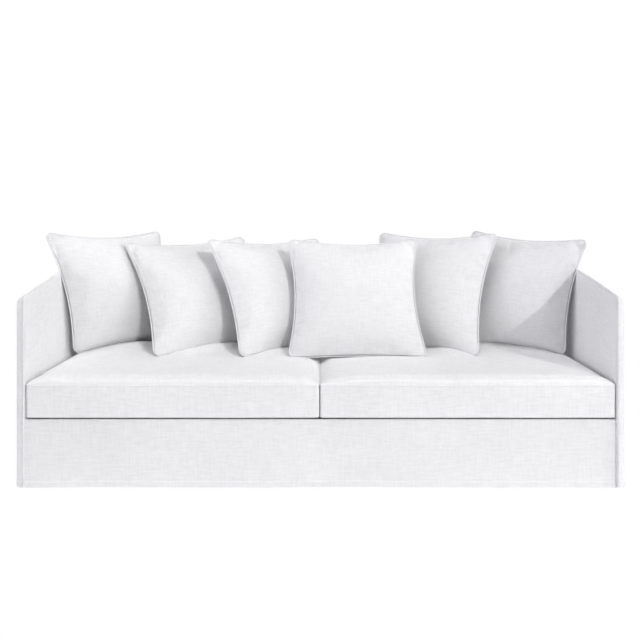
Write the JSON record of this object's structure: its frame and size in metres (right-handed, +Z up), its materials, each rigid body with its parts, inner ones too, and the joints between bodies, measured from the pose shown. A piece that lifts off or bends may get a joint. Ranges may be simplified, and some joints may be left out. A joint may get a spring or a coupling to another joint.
{
  "type": "sofa slipcover",
  "caption": "Fitted white linen slipcover for a long slim-armed sofa, hollow underneath, with its covered seat cushions and a fanned row of loose square pillows.",
  "frame": {"origin": "on the floor, under the middle of the cover's width and of its depth with the standing seams", "axes": "+X to the right as seen from the front, along the width, +Y to the back, +Z up; the open front looks towards -Y"},
  "size_m": [2.3, 0.96, 0.9372],
  "materials": {
    "frame_linen": "matt washed linen in plain weave, off-white, with a slightly raised slub",
    "seat_linen": "the same matt washed linen, stretched over filled cushions",
    "pillow_linen": "the same matt washed linen, softly filled and lightly creased at the seams",
    "piping_linen": "narrow cord covered in the same linen, matt"
  },
  "bodies": {
    "root": {"front_skirt": "frame_linen", "seat_deck": "frame_linen", "inner_back": "frame_linen", "outer_back": "frame_linen", "back_flange": "frame_linen", "inner_arm_left": "frame_linen", "inner_arm_right": "frame_linen", "outer_arm_left": "frame_linen", "outer_arm_right": "frame_linen", "arm_flange_left": "frame_linen", "arm_flange_right": "frame_linen", "seat_cushion_left": "seat_linen", "seat_cushion_right": "seat_linen", "pillow_1": "pillow_linen", "pillow_2": "pillow_linen", "pillow_3": "pillow_linen", "pillow_4": "pillow_linen", "pillow_5": "pillow_linen", "pillow_6": "pillow_linen", "pillow_1_piping": "piping_linen", "pillow_2_piping": "piping_linen", "pillow_3_piping": "piping_linen", "pillow_4_piping": "piping_linen", "pillow_5_piping": "piping_linen", "pillow_6_piping": "piping_linen"}
  },
  "joints": []
}
